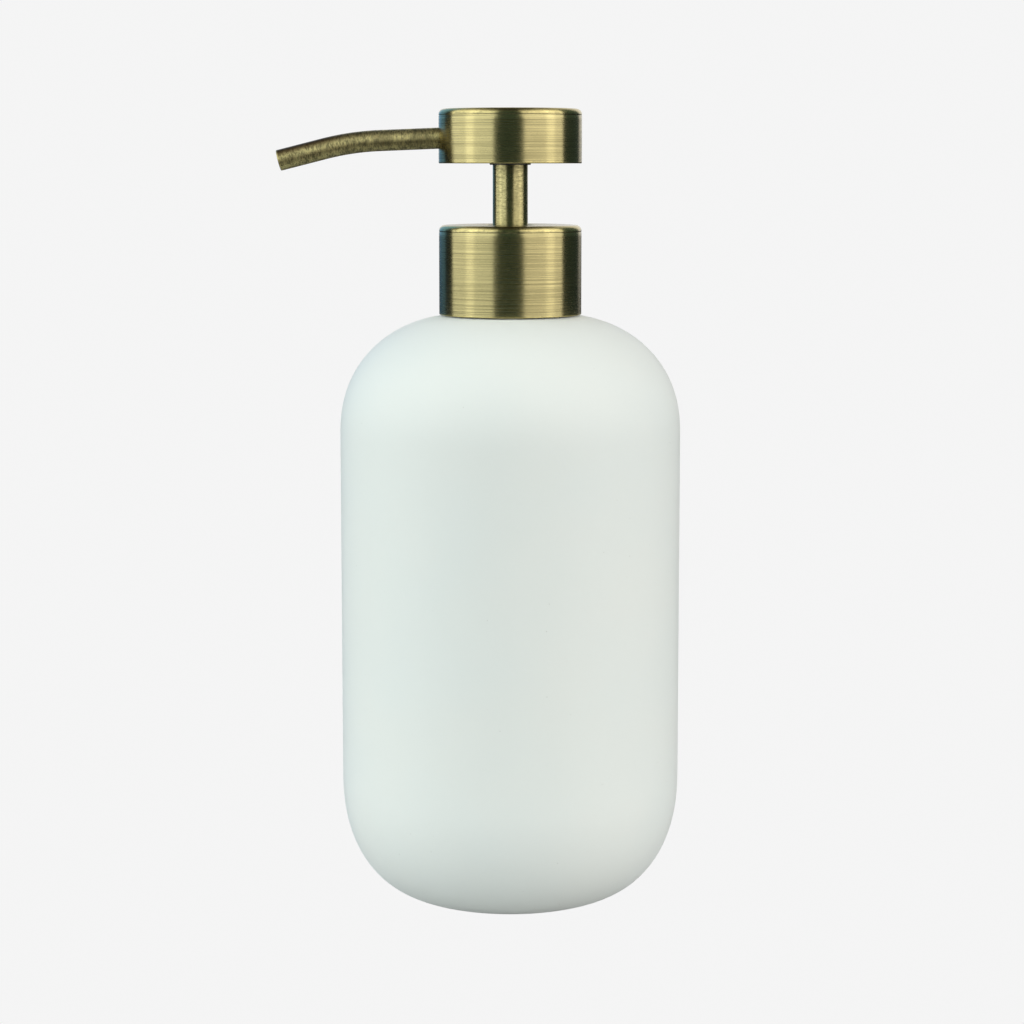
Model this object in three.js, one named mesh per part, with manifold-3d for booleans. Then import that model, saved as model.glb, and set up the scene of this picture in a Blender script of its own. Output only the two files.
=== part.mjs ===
// A countertop soap pump dispenser: a capsule-shaped stoneware bottle, and a screw-on lotion pump
// with a round press head, a bent spout and a plain metal collar.
//
// Millimetres, +Z up. The origin is the centre of the bottle's base, on the surface it stands on.
// The spout points along -X. Each piece is its own closed solid, in the place it has with the
// collar screwed down and the head up.

import * as THREE from "three";
import { mergeVertices } from "three/addons/utils/BufferGeometryUtils.js";
import Module from "manifold-3d";

const wasm = await Module();
wasm.setup();

// ---------------------------------------------------------------- driving dimensions

const FACE_GAP = 0.1; // between two flat faces that rest on each other
const FIT_GAP = 0.2; // between two round pieces, one pressed into the other
const RUN_GAP = 0.3; // between two round pieces that turn or slide on each other

const WIDE = 40; // facets round the bottle, the collar and the head
const SLIM = 20; // facets round the pieces of the pump

const BOTTLE = {
  radius: 40,
  crown: 138.6, // height of the shoulder where the neck starts
  footRadius: 18.2, // the flat that it stands on
  footRise: 28.9, // height of the rounded lower end
  crownRadius: 9.5, // where the rounded shoulder runs out flat
  crownDrop: 28, // height of the rounded shoulder
  roundness: 2.2, // exponent of the superellipse in both rounded ends
  wall: 4.2,
  floor: 5,
  neckRadius: 11,
  neckBore: 9.4,
  neckTop: 150,
};

const THREAD = { pitch: 4.2, turns: 1.25, root: 12.5, crest: 13.6, start: 142.5 };

const COLLAR = { radius: 16.65, bottom: 138.45, top: 159.3, wall: 0.45, hole: 5.6, edge: 1.3 };

const HEAD = { radius: 16.7, bottom: 173.6, top: 186.2, wall: 0.6, lid: 0.9, edge: 1.3 };

const STEM = { radius: 4.1, wall: 0.4, sleeveBottom: 151.5, sleeveTop: 175, top: 177.6 };

const SPOUT = {
  radius: 2.45,
  wall: 0.4,
  axisHeight: 180.1, // of its centre line, carried on to the head's axis
  droop: 2.33, // degrees below level where it leaves the head
  tipDroop: 14.3, // degrees below level at the tip
  root: 9.5, // distances from the head's axis: the inner end,
  bendStart: 30.5, // the start of the bend,
  reach: 54, // and the tip
  bendRadius: 62,
};

const BARREL = { bore: 5.5, radius: 6.9, ledge: 102.2, bottom: 84, chamber: 3.2, seat: 96.2 };

const DIP_TUBE = { radius: 2.5, bore: 1.75, top: 95.2, bottom: 8 };

const PISTON = { seat: 137, bottom: 138.3, top: 144 }; // the spring's upper seat, and the seal

const SPRING = { wire: 0.45, radius: 4.2, turns: 8.5 };

const INLET_BALL = { radius: 2.4, height: 98.42 };
const OUTLET_BALL = { radius: 1.5, height: 172.58 };

// The pieces that are stacked on the neck.
const SLEEVE = { bottom: BOTTLE.crown + 0.4, top: BOTTLE.neckTop + 1.2, lip: 9.4 };
const GASKET = { bottom: SLEEVE.top + FACE_GAP, top: SLEEVE.top + FACE_GAP + 1, bore: 8.4 };
const FLANGE = { bottom: GASKET.top + FACE_GAP, top: GASKET.top + FACE_GAP + 1.5, radius: 12.4 };
const SOCKET = { radius: 9.3, bore: 7.5, bottom: 150.2, top: 156.2 };

// ---------------------------------------------------------------- shape helpers

const point = (r, z) => new THREE.Vector2(r, z);

// Revolves a profile of (radius, height) points about Z. The profile keeps the material on its
// left: it starts and ends on the axis, or closes on itself.
function turned(profile, facets) {
  const closing = profile[0].x === 0 ? [] : [profile[0]];
  return new THREE.LatheGeometry([...profile, ...closing], facets).rotateX(Math.PI / 2);
}

// A ring with a rectangular section.
function ring(inner, outer, low, high, facets) {
  const section = [point(inner, low), point(outer, low), point(outer, high), point(inner, high)];
  return turned(section, facets);
}

// A round bar between two heights.
function bar(radius, low, high, facets) {
  return turned([point(0, low), point(radius, low), point(radius, high), point(0, high)], facets);
}

// Points on a quarter of a superellipse about (r, z), from its steep end to its flat end.
// along and up are its signed half-axes.
function roundedEnd(r, z, along, up, steps) {
  const power = 2 / BOTTLE.roundness;
  return Array.from({ length: steps + 1 }, (_, i) => {
    const angle = (i / steps) * (Math.PI / 2);
    const outwards = i === steps ? 0 : Math.cos(angle) ** power;
    return point(r + along * outwards, z + up * Math.sin(angle) ** power);
  });
}

// Points on a circular fillet about (r, z), from one angle to another, in degrees.
function fillet(r, z, radius, from, to, steps = 3) {
  return Array.from({ length: steps + 1 }, (_, i) => {
    const angle = THREE.MathUtils.degToRad(from + ((to - from) * i) / steps);
    return point(r + radius * Math.cos(angle), z + radius * Math.sin(angle));
  });
}

// A closed geometry as a solid for cutting and joining, without triangles shrunk to a line.
function solid(geometry) {
  const bare = new THREE.BufferGeometry();
  bare.setAttribute("position", geometry.getAttribute("position"));
  bare.setIndex(geometry.index);
  const merged = mergeVertices(bare, 1e-4);
  const corners = merged.index.array;
  const triangles = [];
  for (let i = 0; i < corners.length; i += 3) {
    const [a, b, c] = corners.slice(i, i + 3);
    if (a !== b && b !== c && c !== a) triangles.push(a, b, c);
  }
  const vertProperties = new Float32Array(merged.attributes.position.array);
  const triVerts = new Uint32Array(triangles);
  return new wasm.Manifold(new wasm.Mesh({ numProp: 3, vertProperties, triVerts }));
}

// A cut or joined solid as a geometry again.
function geometryOf(body) {
  const mesh = body.getMesh();
  const geometry = new THREE.BufferGeometry();
  geometry.setAttribute("position", new THREE.BufferAttribute(mesh.vertProperties, 3));
  geometry.setIndex(new THREE.BufferAttribute(mesh.triVerts, 1));
  return geometry;
}

// A right-handed helix about Z. A section swept along it keeps x outwards and y downwards.
// heightAt gives the height after a number of turns.
class Helix extends THREE.Curve {
  constructor(radius, turns, heightAt) {
    super();
    this.radius = radius;
    this.turns = turns;
    this.heightAt = heightAt;
  }

  getPoint(share) {
    const turn = share * this.turns;
    const angle = turn * 2 * Math.PI;
    const { radius } = this;
    return new THREE.Vector3(radius * Math.cos(angle), radius * Math.sin(angle), this.heightAt(turn));
  }

  getSpacedPoints(steps) {
    return this.getPoints(steps);
  }

  computeFrenetFrames(steps) {
    const angles = Array.from({ length: steps + 1 }, (_, i) => (i / steps) * this.turns * 2 * Math.PI);
    return {
      tangents: angles.map((a) => new THREE.Vector3(-Math.sin(a), Math.cos(a), 0)),
      normals: angles.map((a) => new THREE.Vector3(Math.cos(a), Math.sin(a), 0)),
      binormals: angles.map(() => new THREE.Vector3(0, 0, -1)),
    };
  }
}

// A thread ridge that stands on a round wall, outwards or inwards, and is sunk a little into it.
function threadRidge(wall, crest, footWidth, crestWidth, start) {
  const height = crest - wall;
  const sunk = -0.25 * Math.sign(height);
  const section = new THREE.Shape([
    point(sunk, -footWidth / 2),
    point(height, -crestWidth / 2),
    point(height, crestWidth / 2),
    point(sunk, footWidth / 2),
  ]);
  const path = new Helix(wall, THREAD.turns, (turn) => start + THREAD.pitch * turn);
  return new THREE.ExtrudeGeometry(section, { extrudePath: path, steps: SLIM * THREAD.turns });
}

// ---------------------------------------------------------------- the bottle

function bottleBody() {
  const { radius, crown, footRadius, footRise, crownRadius, crownDrop, wall, floor } = BOTTLE;
  const { neckRadius, neckBore, neckTop } = BOTTLE;
  const inside = radius - wall;
  const ceiling = crown - wall - 0.5;
  const ceilingDrop = crownDrop - wall;
  const innerFoot = footRadius - 2;
  const rim = 0.6;
  const lower = roundedEnd(footRadius, footRise, radius - footRadius, -footRise, 6);
  const upper = roundedEnd(crownRadius, crown - crownDrop, radius - crownRadius, crownDrop, 7);
  const innerUpper = roundedEnd(neckBore, ceiling - ceilingDrop, inside - neckBore, ceilingDrop, 5);
  const innerLower = roundedEnd(innerFoot, footRise, inside - innerFoot, floor - footRise, 5);
  const outline = [
    point(0, 0),
    ...lower.reverse(),
    ...upper.slice(0, -1),
    point(neckRadius, crown),
    point(neckRadius, neckTop - rim),
    point(neckRadius - rim, neckTop),
    point(neckBore + rim, neckTop),
    point(neckBore, neckTop - rim),
    ...innerUpper.reverse(),
    ...innerLower,
    point(0, floor),
  ];
  return turned(outline, WIDE);
}

// The plastic screw neck, bonded over the bottle's own plain neck.
function neckSleeve() {
  const bore = BOTTLE.neckRadius + FIT_GAP;
  const lipUnderside = BOTTLE.neckTop + FACE_GAP;
  const sleeve = turned([
    point(bore, SLEEVE.bottom),
    point(THREAD.root, SLEEVE.bottom),
    point(THREAD.root, SLEEVE.top),
    point(SLEEVE.lip, SLEEVE.top),
    point(SLEEVE.lip, lipUnderside),
    point(bore, lipUnderside),
  ], WIDE);
  const ridge = threadRidge(THREAD.root, THREAD.crest, 2.4, 1.2, THREAD.start);
  return geometryOf(solid(sleeve).add(solid(ridge)));
}

function neckGasket() {
  return ring(GASKET.bore, FLANGE.radius, GASKET.bottom, GASKET.top, WIDE);
}

// ---------------------------------------------------------------- the pump's fixed pieces

// The barrel, with the flange that hangs it on the neck, the seat of the inlet ball and the
// socket of the dip tube. The vent hole lets air into the bottle when the piston has passed it.
function pumpHousing() {
  const { bore, radius, ledge, bottom, chamber, seat } = BARREL;
  const shoulder = FLANGE.bottom - 8;
  const throat = 1.3;
  const tubeSocket = DIP_TUBE.radius + FACE_GAP;
  const tubeStop = DIP_TUBE.top + FACE_GAP;
  const body = turned([
    point(tubeSocket, bottom),
    point(chamber + 1, bottom),
    point(chamber + 1, ledge - 4),
    point(radius, ledge + 1),
    point(radius, shoulder - 1.2),
    point(GASKET.bore - RUN_GAP, shoulder),
    point(GASKET.bore - RUN_GAP, FLANGE.bottom),
    point(FLANGE.radius, FLANGE.bottom),
    point(FLANGE.radius, FLANGE.top),
    point(SOCKET.radius, FLANGE.top),
    point(SOCKET.radius, SOCKET.top),
    point(SOCKET.bore, SOCKET.top),
    point(SOCKET.bore, SOCKET.bottom),
    point(bore, SOCKET.bottom),
    point(bore, ledge),
    point(chamber, ledge),
    point(chamber, seat + 1.8),
    point(throat, seat),
    point(throat, tubeStop),
    point(tubeSocket, tubeStop),
  ], SLIM);
  const ventHeight = (PISTON.bottom + PISTON.top) / 2;
  const vent = bar(0.7, bore - 1, radius + 1, 8).rotateY(Math.PI / 2).translate(0, 0, ventHeight);
  return geometryOf(solid(body).subtract(solid(vent)));
}

// The straight suction tube, its lower end cut at a slant.
function dipTube() {
  const tube = ring(DIP_TUBE.bore, DIP_TUBE.radius, DIP_TUBE.bottom, DIP_TUBE.top, 16);
  const slant = THREE.MathUtils.degToRad(28);
  const rise = DIP_TUBE.radius * Math.tan(slant);
  const offcut = new THREE.BoxGeometry(12, 12, 6)
    .translate(0, 0, -3)
    .rotateY(slant)
    .translate(0, 0, DIP_TUBE.bottom + rise);
  return geometryOf(solid(tube).subtract(solid(offcut)));
}

// The slotted disc that keeps the inlet ball in its chamber and carries the spring.
const CAGE = { bottom: BARREL.ledge + FACE_GAP, top: BARREL.ledge + FACE_GAP + 2, bore: 2.7 };

function ballCage() {
  const web = new THREE.BoxGeometry(2 * CAGE.bore + 1, 0.9, CAGE.top - CAGE.bottom)
    .translate(0, 0, (CAGE.top + CAGE.bottom) / 2);
  const crossWeb = web.clone().rotateZ(Math.PI / 2);
  const rim = ring(CAGE.bore, BARREL.bore - FIT_GAP, CAGE.bottom, CAGE.top, SLIM);
  return geometryOf(solid(rim).add(solid(web)).add(solid(crossWeb)));
}

// The coil spring. Its first and last turns are closed, wire on wire but for a small gap.
function returnSpring() {
  const { wire, radius, turns } = SPRING;
  const low = CAGE.top + FACE_GAP + wire;
  const high = PISTON.seat - FACE_GAP - wire;
  const endRise = 2 * wire + FIT_GAP;
  const heightAt = (turn) => {
    if (turn < 1) return low + endRise * turn;
    if (turn > turns - 1) return high - endRise * (turns - turn);
    return low + endRise + ((turn - 1) / (turns - 2)) * (high - low - 2 * endRise);
  };
  const section = new THREE.Shape().absarc(0, 0, wire, 0, 2 * Math.PI);
  const path = new Helix(radius, turns, heightAt);
  const steps = turns * 12;
  return new THREE.ExtrudeGeometry(section, { extrudePath: path, steps, curveSegments: 3 });
}

// The guide that snaps into the top of the housing. It keeps the stem upright, stops the piston
// at the top of its stroke and holds the cap captive under its flange.
function chaplet() {
  const bore = STEM.radius + RUN_GAP;
  const tube = BARREL.bore - FIT_GAP;
  const flange = SOCKET.top + FACE_GAP;
  const plugBottom = SOCKET.bottom + FIT_GAP;
  return turned([
    point(bore, PISTON.top + RUN_GAP),
    point(tube, PISTON.top + RUN_GAP),
    point(tube, flange - 1),
    point(tube + 0.9, flange - 1),
    point(tube + 0.9, plugBottom),
    point(SOCKET.bore - FIT_GAP, plugBottom),
    point(SOCKET.bore - FIT_GAP, flange),
    point(SOCKET.radius + 1.5, flange),
    point(SOCKET.radius + 1.5, flange + 1.1),
    point(COLLAR.hole - RUN_GAP, flange + 1.1),
    point(COLLAR.hole - RUN_GAP, COLLAR.top),
    point(bore, COLLAR.top),
  ], SLIM);
}

// ---------------------------------------------------------------- the screw collar

// The threaded plastic cap inside the collar. Its ridge bears on the underside of the neck's.
function closureCap() {
  const skirtBore = 14;
  const outside = COLLAR.radius - COLLAR.wall - FIT_GAP;
  const hole = SOCKET.radius + RUN_GAP;
  const bottom = BOTTLE.crown + 0.6;
  const plateBottom = FLANGE.top + FIT_GAP;
  const plateTop = plateBottom + 1.8;
  const cap = turned([
    point(skirtBore, bottom),
    point(outside, bottom),
    point(outside, plateTop),
    point(hole, plateTop),
    point(hole, plateBottom),
    point(skirtBore, plateBottom),
  ], WIDE);
  const ridge = threadRidge(skirtBore, THREAD.root + 0.4, 2.2, 1, THREAD.start - 1.7);
  return geometryOf(solid(cap).add(solid(ridge)));
}

// The metal collar: a deep-drawn cup over the cap, open below, with a round hole on top.
function collarShell() {
  const { radius, bottom, top, wall, hole, edge } = COLLAR;
  const lip = 0.2;
  return turned([
    point(radius - wall, bottom),
    point(radius - lip, bottom),
    point(radius, bottom + lip),
    ...fillet(radius - edge, top - edge, edge, 0, 90),
    point(hole, top),
    point(hole, top - wall),
    ...fillet(radius - edge, top - edge, edge - wall, 90, 0, 2),
  ], WIDE);
}

// ---------------------------------------------------------------- the stem and the piston

// The soft piston that wipes the barrel, with a lip at each end.
function pistonSeal() {
  const bore = 3;
  const lip = BARREL.bore - 0.08;
  const waist = lip - 0.7;
  const bottom = PISTON.bottom + FACE_GAP;
  const { top } = PISTON;
  return turned([
    point(bore, bottom),
    point(waist - 0.3, bottom),
    point(lip, bottom + 0.5),
    point(lip, bottom + 0.9),
    point(waist, bottom + 1.8),
    point(waist, top - 1.8),
    point(lip, top - 0.9),
    point(lip, top - 0.5),
    point(waist - 0.3, top),
    point(bore, top),
  ], SLIM);
}

// The hollow plastic stem. Its foot carries the piston and rests on the spring, and its top is
// widened into the seat and the chamber of the outlet ball.
function pistonStem() {
  const shaft = STEM.radius - STEM.wall - FIT_GAP;
  const pistonShaft = 2.8;
  const bore = 1.4;
  const throat = 0.9;
  const chamber = OUTLET_BALL.radius + 0.4;
  const seat = 171.2;
  return turned([
    point(bore, PISTON.seat),
    point(SPRING.radius + 0.7, PISTON.seat),
    point(SPRING.radius + 0.7, PISTON.bottom),
    point(pistonShaft, PISTON.bottom),
    point(pistonShaft, PISTON.top + FACE_GAP),
    point(shaft, PISTON.top + FACE_GAP),
    point(shaft, STEM.top),
    point(chamber, STEM.top),
    point(chamber, seat + 1),
    point(throat, seat),
    point(throat, seat - 1.2),
    point(bore, seat - 1.7),
  ], SLIM);
}

// The metal tube over the stem, which is what shows between the collar and the head.
function stemSleeve() {
  return ring(STEM.radius - STEM.wall, STEM.radius, STEM.sleeveBottom, STEM.sleeveTop, SLIM);
}

function checkBall(radius) {
  return new THREE.SphereGeometry(radius, 12, 8).rotateX(Math.PI / 2);
}

// ---------------------------------------------------------------- the spout

const droop = THREE.MathUtils.degToRad(SPOUT.droop);
const tipDroop = THREE.MathUtils.degToRad(SPOUT.tipDroop);

// Lays a shape made about Z along the first straight of the spout.
function alongSpout(geometry) {
  return geometry.rotateY(-Math.PI / 2 - droop).translate(0, 0, SPOUT.axisHeight);
}

// The spout's centre line, from one distance to another off the head's axis: nearly level,
// one bend downwards, then straight to the tip.
function spoutLine(from, to) {
  const heightAt = (reach) => SPOUT.axisHeight - reach * Math.tan(droop);
  const root = new THREE.Vector3(-from, 0, heightAt(from));
  const bend = new THREE.Vector3(-SPOUT.bendStart, 0, heightAt(SPOUT.bendStart));
  const onBend = (share) => {
    const angle = THREE.MathUtils.lerp(droop, tipDroop, share);
    const along = SPOUT.bendRadius * (Math.sin(angle) - Math.sin(droop));
    const down = SPOUT.bendRadius * (Math.cos(droop) - Math.cos(angle));
    return new THREE.Vector3(bend.x - along, 0, bend.z - down);
  };
  const bendEnd = onBend(1);
  const tip = new THREE.Vector3(-to, 0, bendEnd.z - (to + bendEnd.x) * Math.tan(tipDroop));
  const line = new THREE.CurvePath();
  line.add(new THREE.LineCurve3(root, bend));
  line.add(new THREE.CatmullRomCurve3([0, 0.25, 0.5, 0.75, 1].map(onBend)));
  line.add(new THREE.LineCurve3(bendEnd, tip));
  return line;
}

// A tube along the spout's line.
function spoutPipe(outer, inner, from, to, curveSegments) {
  const section = new THREE.Shape().absarc(0, 0, outer, 0, 2 * Math.PI);
  section.holes.push(new THREE.Path().absarc(0, 0, inner, 0, 2 * Math.PI, true));
  const extrudePath = spoutLine(from, to);
  return new THREE.ExtrudeGeometry(section, { extrudePath, steps: 14, curveSegments });
}

function spoutTube() {
  return spoutPipe(SPOUT.radius, SPOUT.radius - SPOUT.wall, SPOUT.root, SPOUT.reach, 7);
}

// The plastic liner inside the metal spout. It stops short of both ends.
function spoutLiner() {
  const outside = SPOUT.radius - SPOUT.wall - FIT_GAP;
  return spoutPipe(outside, outside - 0.65, SPOUT.root + 0.5, SPOUT.reach - 1.5, 5);
}

// The groove of the spout's sealing ring, and the ring.
const SEAL = { reach: 12, section: 0.5, radius: SPOUT.radius + FACE_GAP + 0.5 };

function spoutSeal() {
  const seal = new THREE.TorusGeometry(SEAL.radius, SEAL.section, 6, SLIM);
  return alongSpout(seal.translate(0, 0, SEAL.reach));
}

// ---------------------------------------------------------------- the head

// The metal cup of the head, open below, with a round hole for the spout.
function headShell() {
  const { radius, bottom, top, wall, lid, edge } = HEAD;
  const lip = 0.25;
  const inner = edge - wall;
  const cup = turned([
    point(0, top - lid),
    ...fillet(radius - edge, top - lid - inner, inner, 90, 0, 2),
    point(radius - wall, bottom),
    point(radius - lip, bottom),
    point(radius, bottom + lip),
    ...fillet(radius - edge, top - edge, edge, 0, 90),
    point(0, top),
  ], WIDE);
  const hole = alongSpout(bar(SPOUT.radius + FIT_GAP, radius - 3, radius + 3, 16));
  return geometryOf(solid(cup).subtract(solid(hole)));
}

// The disc that closes the head from below. Its short collar guides the stem.
const BASE_PLATE = { bottom: 173.9, top: 174.7, collarBottom: 173.25, collarWall: 0.5 };

function headBasePlate() {
  const bore = STEM.radius + FIT_GAP;
  const outside = HEAD.radius - HEAD.wall - RUN_GAP;
  return turned([
    point(bore, BASE_PLATE.collarBottom),
    point(bore + BASE_PLATE.collarWall, BASE_PLATE.collarBottom),
    point(bore + BASE_PLATE.collarWall, BASE_PLATE.bottom),
    point(outside, BASE_PLATE.bottom),
    point(outside, BASE_PLATE.top),
    point(bore, BASE_PLATE.top),
  ], WIDE);
}

// The moulded insert that fills the cup: a hub that grips the stem, a skirt, ribs between them,
// and the channel that leads the soap from the outlet ball to the spout.
function headCore() {
  const outside = HEAD.radius - HEAD.wall - RUN_GAP;
  const top = HEAD.top - HEAD.lid - FIT_GAP;
  const bottom = BASE_PLATE.top + FIT_GAP;
  const skirt = outside - 1.3;
  const hub = 7.2;
  const plateBottom = top - 1.4;
  const ribBottom = 178;
  const channel = { radius: 1.4, chamber: 2.3, ceiling: 182 };
  const ballStop = { radius: 0.8, bottom: 175.1 };
  const stemBore = STEM.radius - STEM.wall;
  const spoutBore = SPOUT.radius + FIT_GAP;
  const sealBore = SEAL.radius + SEAL.section + FACE_GAP;
  const sealWidth = SEAL.section + FIT_GAP;

  const body = turned([
    point(0, bottom),
    point(hub, bottom),
    point(hub, plateBottom),
    point(skirt, plateBottom),
    point(skirt, bottom),
    point(outside, bottom),
    point(outside, top),
    point(0, top),
  ], WIDE);
  const rib = new THREE.BoxGeometry(2 * skirt + 1, 1.2, plateBottom + 0.5 - ribBottom)
    .translate(0, 0, (plateBottom + 0.5 + ribBottom) / 2);
  const crossRib = rib.clone().rotateZ(Math.PI / 2);
  const joined = [rib, crossRib, alongSpout(bar(sealBore + 0.9, 2, skirt + 0.3, SLIM))];
  const cut = [
    bar(stemBore, bottom - 1, STEM.top + FIT_GAP, SLIM),
    bar(STEM.radius + FIT_GAP, bottom - 1, STEM.sleeveTop + FIT_GAP, SLIM),
    bar(channel.chamber, STEM.top, channel.ceiling, 16),
    alongSpout(bar(channel.radius, 0, SPOUT.root, 12)),
    alongSpout(bar(spoutBore, SPOUT.root - FIT_GAP, HEAD.radius + 1, 16)),
    alongSpout(bar(sealBore, SEAL.reach - sealWidth, SEAL.reach + sealWidth, SLIM)),
  ];
  const pin = bar(ballStop.radius, ballStop.bottom, channel.ceiling + 1, 8);
  const whole = joined.reduce((sum, shape) => sum.add(solid(shape)), solid(body));
  const bored = cut.reduce((rest, shape) => rest.subtract(solid(shape)), whole);
  return geometryOf(bored.add(solid(pin)));
}

// ---------------------------------------------------------------- the assembly

const FINISHES = {
  stoneware: { color: 0xd9dcd8, roughness: 0.6, metalness: 0 },
  brass: { color: 0xb39a62, roughness: 0.35, metalness: 1 },
  agedBrass: { color: 0x8a7440, roughness: 0.45, metalness: 1 },
  steel: { color: 0xb9bdc1, roughness: 0.25, metalness: 1 },
  whitePlastic: { color: 0xe6e7e4, roughness: 0.5, metalness: 0 },
  clearPlastic: { color: 0xdfe4e3, roughness: 0.35, metalness: 0 },
  blackPlastic: { color: 0x26272a, roughness: 0.5, metalness: 0 },
  rubber: { color: 0x3a3c3d, roughness: 0.8, metalness: 0 },
};

function piece(name, geometry, finish, height = 0) {
  const mesh = new THREE.Mesh(geometry, new THREE.MeshStandardMaterial(FINISHES[finish]));
  mesh.name = name;
  mesh.position.z = height;
  return mesh;
}

const bottle = new THREE.Group().add(
  piece("bottle_body", bottleBody(), "stoneware"),
  piece("neck_sleeve", neckSleeve(), "whitePlastic"),
);

const pump = new THREE.Group().add(
  piece("neck_gasket", neckGasket(), "rubber"),
  piece("pump_housing", pumpHousing(), "whitePlastic"),
  piece("dip_tube", dipTube(), "clearPlastic"),
  piece("ball_cage", ballCage(), "whitePlastic"),
  piece("inlet_ball", checkBall(INLET_BALL.radius), "steel", INLET_BALL.height),
  piece("return_spring", returnSpring(), "steel"),
  piece("chaplet", chaplet(), "blackPlastic"),
);

const collar = new THREE.Group().add(
  piece("closure_cap", closureCap(), "blackPlastic"),
  piece("collar_shell", collarShell(), "brass"),
);

const plunger = new THREE.Group().add(
  piece("piston_seal", pistonSeal(), "clearPlastic"),
  piece("piston_stem", pistonStem(), "whitePlastic"),
  piece("stem_sleeve", stemSleeve(), "agedBrass"),
  piece("outlet_ball", checkBall(OUTLET_BALL.radius), "steel", OUTLET_BALL.height),
);

const head = new THREE.Group().add(
  piece("head_core", headCore(), "blackPlastic"),
  piece("head_base_plate", headBasePlate(), "blackPlastic"),
  piece("head_shell", headShell(), "brass"),
  piece("spout_tube", spoutTube(), "agedBrass"),
  piece("spout_liner", spoutLiner(), "clearPlastic"),
  piece("spout_seal", spoutSeal(), "rubber"),
);

const dispenser = new THREE.Group().add(bottle, pump, collar, plunger, head);

export default dispenser;
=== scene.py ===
from math import atan2, ceil, cos, pi, radians, sin, tan

import bmesh
import bpy
import numpy as np
from mathutils import Matrix, Vector


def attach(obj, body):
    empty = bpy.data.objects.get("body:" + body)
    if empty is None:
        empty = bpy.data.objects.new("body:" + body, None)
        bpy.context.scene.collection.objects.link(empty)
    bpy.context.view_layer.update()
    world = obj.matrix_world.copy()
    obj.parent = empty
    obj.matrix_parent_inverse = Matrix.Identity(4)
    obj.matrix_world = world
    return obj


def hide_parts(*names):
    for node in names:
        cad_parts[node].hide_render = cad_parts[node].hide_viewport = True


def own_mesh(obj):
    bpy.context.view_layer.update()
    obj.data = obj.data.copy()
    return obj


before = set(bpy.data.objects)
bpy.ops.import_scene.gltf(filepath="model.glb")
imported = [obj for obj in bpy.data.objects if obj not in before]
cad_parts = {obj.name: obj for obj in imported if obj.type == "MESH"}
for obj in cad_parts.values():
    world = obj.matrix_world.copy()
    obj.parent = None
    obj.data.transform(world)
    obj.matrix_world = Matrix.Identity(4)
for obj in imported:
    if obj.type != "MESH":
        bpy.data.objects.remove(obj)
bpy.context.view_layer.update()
mm = 0.001


# camera, floor and light

stage = dict(
    eyeHeight=174.2,      # mm above the surface the bottle stands on
    eyeDistance=595,      # mm in front of the bottle's axis
    aside=0.4,            # mm to the right of the axis
    tilt=6.98,            # degrees below level
    lens=89.1,
    shift=-0.04,
    pale=(0.910, 0.910, 0.910),
    paper=(0.45, 0.45, 0.45),
    paperReach=(140, 380),   # mm from the axis where the paper ends, softly
    ground=(0.04, 0.04, 0.04),
    groundHalf=12.0,         # metres from the middle of the floor to its sides
)

# azimuth counts from the camera's side of the bottle, to the left as positive; sizes in mm
softboxes = dict(
    leftPanel=dict(azimuth=67, height=420, distance=900, width=1640, tall=1150, radiance=1.95,
                   colour=(0.955, 1.0, 1.0)),
    leftCore=dict(azimuth=68, height=420, distance=890, width=250, tall=1100, radiance=0.8,
                  colour=(1.0, 1.0, 0.96)),
    rightPanel=dict(azimuth=-57.5, height=420, distance=900, width=1380, tall=1150, radiance=1.95,
                    colour=(1.0, 0.975, 0.965)),
    rightCore=dict(azimuth=-68, height=420, distance=890, width=250, tall=1100, radiance=0.8,
                   colour=(1.0, 0.97, 0.92)),
)

# degrees from the camera's side, to the left as positive, and the colour of the room there
roomStops = (
    (-180, (1.0, 1.0, 1.0)),
    (-147, (1.0, 1.0, 1.0)),
    (-143, (0.075, 0.120, 0.115)),
    (-98, (0.075, 0.120, 0.115)),
    (-25, (0.080, 0.135, 0.115)),
    (25, (0.080, 0.135, 0.115)),
    (112, (0.050, 0.070, 0.066)),
    (128, (0.04, 0.06, 0.08)),
    (132, (0.20, 0.46, 0.78)),
    (163, (0.24, 0.52, 0.85)),
    (168, (0.95, 0.97, 0.97)),
    (180, (0.92, 0.92, 0.92)),
)
overhead = dict(
    start=0.55, full=0.80,      # the height of a direction, from 0 level to 1 straight up
    ahead=0.05, beside=0.50,    # how bright it is above the front and the back, and above the sides
    aheadWidth=0.15, besideWidth=0.60,
)
lampTarget = (0, 0, 0.12)   # metres


def aimAt(thing, target):
    direction = Vector(target) - thing.location
    thing.rotation_euler = direction.to_track_quat("-Z", "Y").to_euler()


def makeCamera(s):
    data = bpy.data.cameras.new("camera")
    data.lens = s["lens"]
    data.shift_y = s["shift"]
    data.clip_start = 0.01
    camera = bpy.data.objects.new("camera", data)
    camera.location = (s["aside"] * mm, -s["eyeDistance"] * mm, s["eyeHeight"] * mm)
    drop = s["eyeDistance"] * tan(radians(s["tilt"]))
    aimAt(camera, (s["aside"] * mm, 0, (s["eyeHeight"] - drop) * mm))
    bpy.context.scene.collection.objects.link(camera)
    bpy.context.scene.camera = camera


def makeSoftbox(name, s):
    azimuth = radians(s["azimuth"])
    light = bpy.data.lights.new(name, "AREA")
    light.shape = "RECTANGLE"
    light.size, light.size_y = s["width"] * mm, s["tall"] * mm
    light.energy = s["radiance"] * pi * light.size * light.size_y
    light.color = s["colour"]
    lamp = bpy.data.objects.new(name, light)
    side, front = -sin(azimuth) * s["distance"], -cos(azimuth) * s["distance"]
    lamp.location = (side * mm, front * mm, s["height"] * mm)
    lamp.visible_camera = False
    aimAt(lamp, lampTarget)
    bpy.context.scene.collection.objects.link(lamp)


# small helpers for shader nodes

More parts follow.
